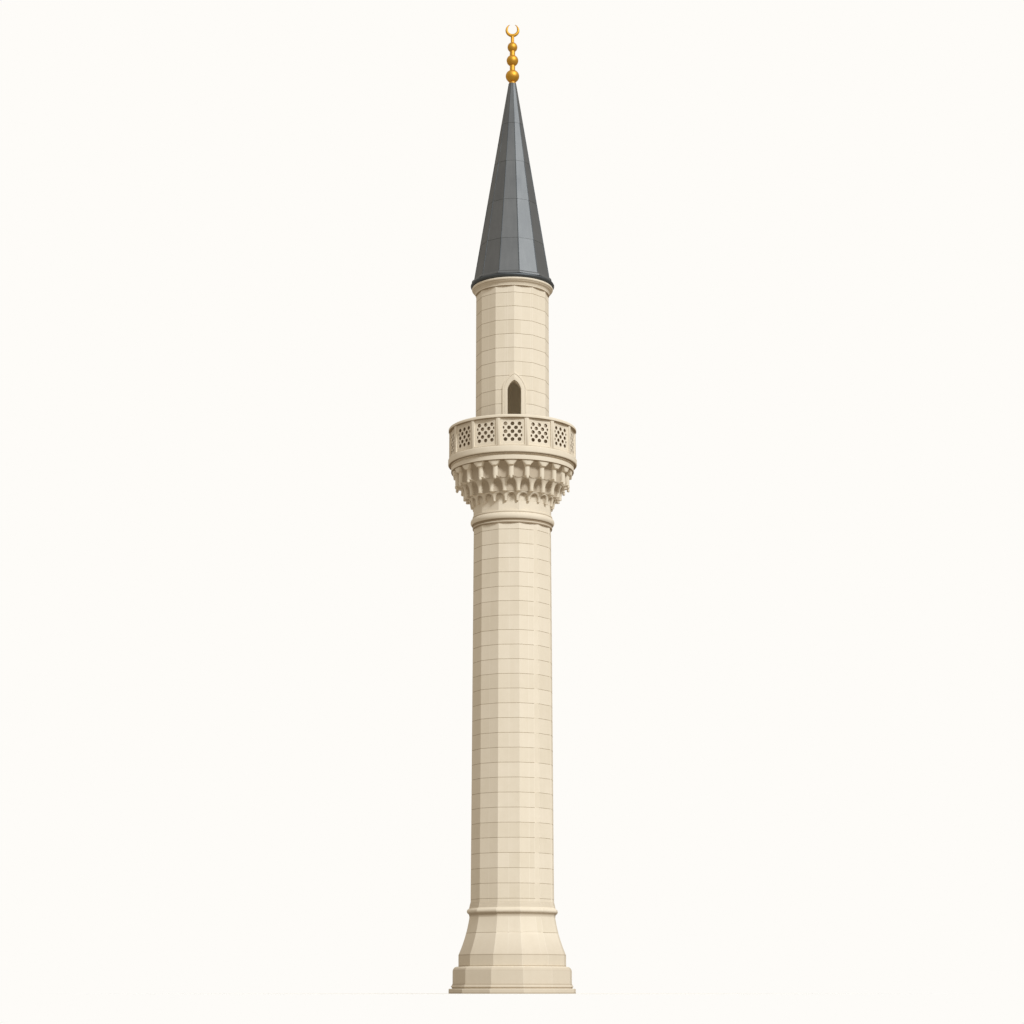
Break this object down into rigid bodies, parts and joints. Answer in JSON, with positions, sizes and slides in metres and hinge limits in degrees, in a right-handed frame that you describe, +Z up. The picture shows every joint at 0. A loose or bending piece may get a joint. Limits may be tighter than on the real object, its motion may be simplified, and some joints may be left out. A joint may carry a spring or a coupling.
{
  "type": "minaret",
  "caption": "Slender twelve-sided stone minaret on a flared foot, with a corbelled balcony behind a pierced parapet, an arched balcony door, a lead spire and a gilded crescent finial.",
  "frame": {"origin": "centre of the foot's underside, on the tower's axis", "axes": "+Z up the tower's axis; the balcony door and the front look along -Y; +X to the viewer's right"},
  "size_m": [4.426, 4.42, 34.0001],
  "materials": {
    "ashlar": "dressed pale limestone in half-metre courses",
    "carved_stone": "carved pale limestone",
    "paving": "worn limestone paving",
    "lead": "dull weathered lead sheet",
    "gilding": "polished gilding"
  },
  "bodies": {
    "root": {"balcony_cornice": "carved_stone", "balcony_floor": "paving", "base_splay": "carved_stone", "corbel_neck": "ashlar", "door_surround": "carved_stone", "drum_wall_2": "ashlar", "drum_wall_3": "ashlar", "drum_wall_4": "ashlar", "drum_wall_5": "ashlar", "drum_wall_6": "ashlar", "drum_wall_left_of_door": "ashlar", "drum_wall_over_door": "ashlar", "drum_wall_right_of_door": "ashlar", "eave_cornice": "carved_stone", "finial_crescent": "gilding", "finial_stem": "gilding", "ground_slab": "carved_stone", "landing_floor": "paving", "lead_eave_lip": "lead", "lower_corbel_tier": "carved_stone", "lower_die": "carved_stone", "lower_ring": "carved_stone", "middle_corbel_tier": "carved_stone", "parapet_kerb": "carved_stone", "parapet_panel_01": "carved_stone", "parapet_panel_02": "carved_stone", "parapet_panel_03": "carved_stone", "parapet_panel_04": "carved_stone", "parapet_panel_05": "carved_stone", "parapet_panel_06": "carved_stone", "parapet_panel_07": "carved_stone", "parapet_panel_08": "carved_stone", "parapet_panel_09": "carved_stone", "parapet_panel_10": "carved_stone", "parapet_panel_11": "carved_stone", "parapet_panel_12": "carved_stone", "parapet_panel_13": "carved_stone", "parapet_panel_14": "carved_stone", "parapet_rail": "carved_stone", "plinth_moulding": "carved_stone", "shaft_wall_1": "ashlar", "shaft_wall_2": "ashlar", "shaft_wall_3": "ashlar", "shaft_wall_4": "ashlar", "shaft_wall_5": "ashlar", "shaft_wall_6": "ashlar", "spire": "lead", "upper_corbel_tier": "carved_stone", "upper_die": "carved_stone", "upper_ring": "carved_stone"}
  },
  "joints": []
}
